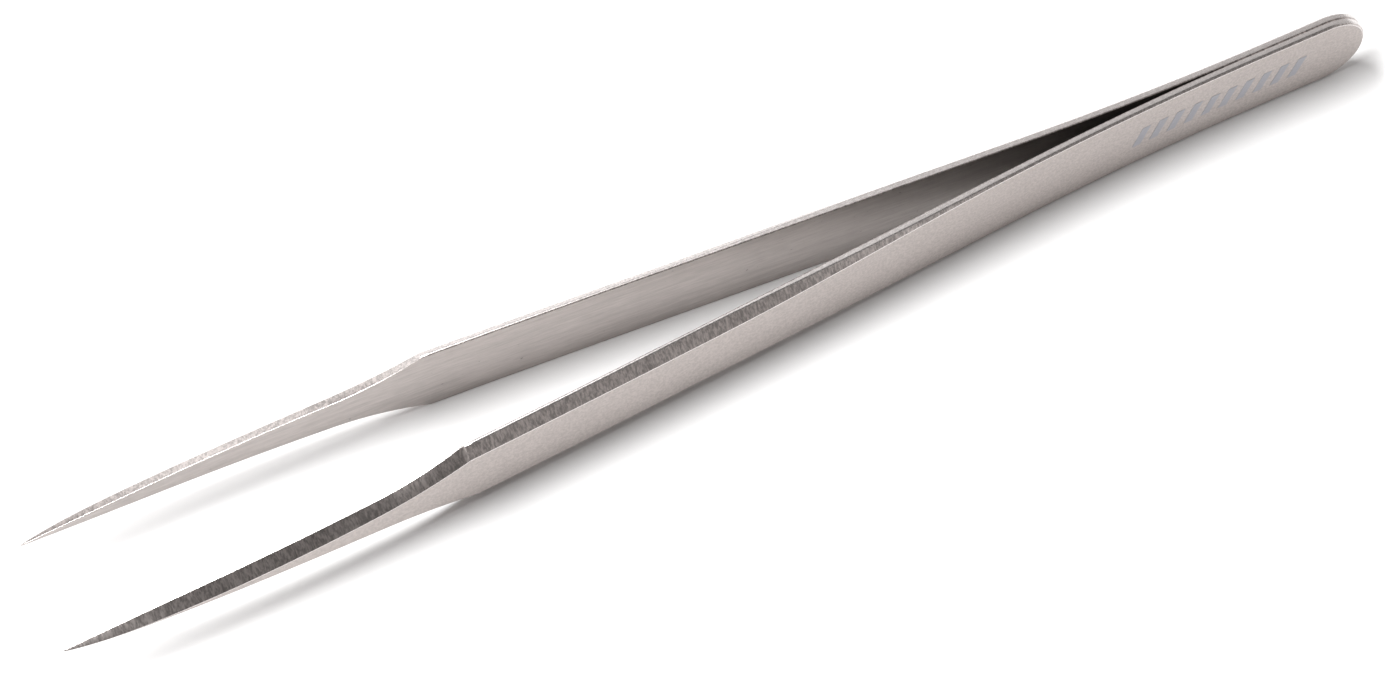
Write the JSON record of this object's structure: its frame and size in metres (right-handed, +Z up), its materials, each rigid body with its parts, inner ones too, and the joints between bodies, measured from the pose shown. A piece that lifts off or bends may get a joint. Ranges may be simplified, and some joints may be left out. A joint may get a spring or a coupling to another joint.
{
  "type": "precision tweezers",
  "caption": "Slim fine-point tweezers: two long spring leaves welded at a rounded tail, ground bevels along the arms, hollow ground shoulders and needle points.",
  "frame": {"origin": "middle of the length, on the middle plane between the leaves, at the long edges that the tweezers rest on", "axes": "+X along the length to the welded tail, +Y from the front leaf to the rear leaf, +Z up across the leaf width"},
  "size_m": [0.14, 0.0146, 0.0089],
  "materials": {
    "leaf_steel": "satin blasted stainless steel",
    "weld_metal": "fused, dull",
    "mark_ink": "thin pale blue-grey print"
  },
  "bodies": {
    "tail": {"front_leaf_tail": "leaf_steel", "rear_leaf_tail": "leaf_steel", "front_leaf_flexure": "leaf_steel", "rear_leaf_flexure": "leaf_steel", "weld_nuggets": "weld_metal", "printed_mark": "mark_ink"},
    "front_arm": {"front_leaf_arm": "leaf_steel"},
    "rear_arm": {"rear_leaf_arm": "leaf_steel"}
  },
  "joints": [
    {"name": "front_arm_flex", "type": "hinge", "parent": "tail", "child": "front_arm", "pos_m": [0.03835, -0.00096, 0.00447], "axis": [0, 0, -1], "range_deg": [0, 3.15], "stiffness_Nm_per_rad": 1.2, "deforming": ["front_leaf_flexure"]},
    {"name": "rear_arm_flex", "type": "hinge", "parent": "tail", "child": "rear_arm", "pos_m": [0.03835, 0.00096, 0.00447], "axis": [0, 0, 1], "range_deg": [0, 3.15], "stiffness_Nm_per_rad": 1.2, "deforming": ["rear_leaf_flexure"]}
  ]
}
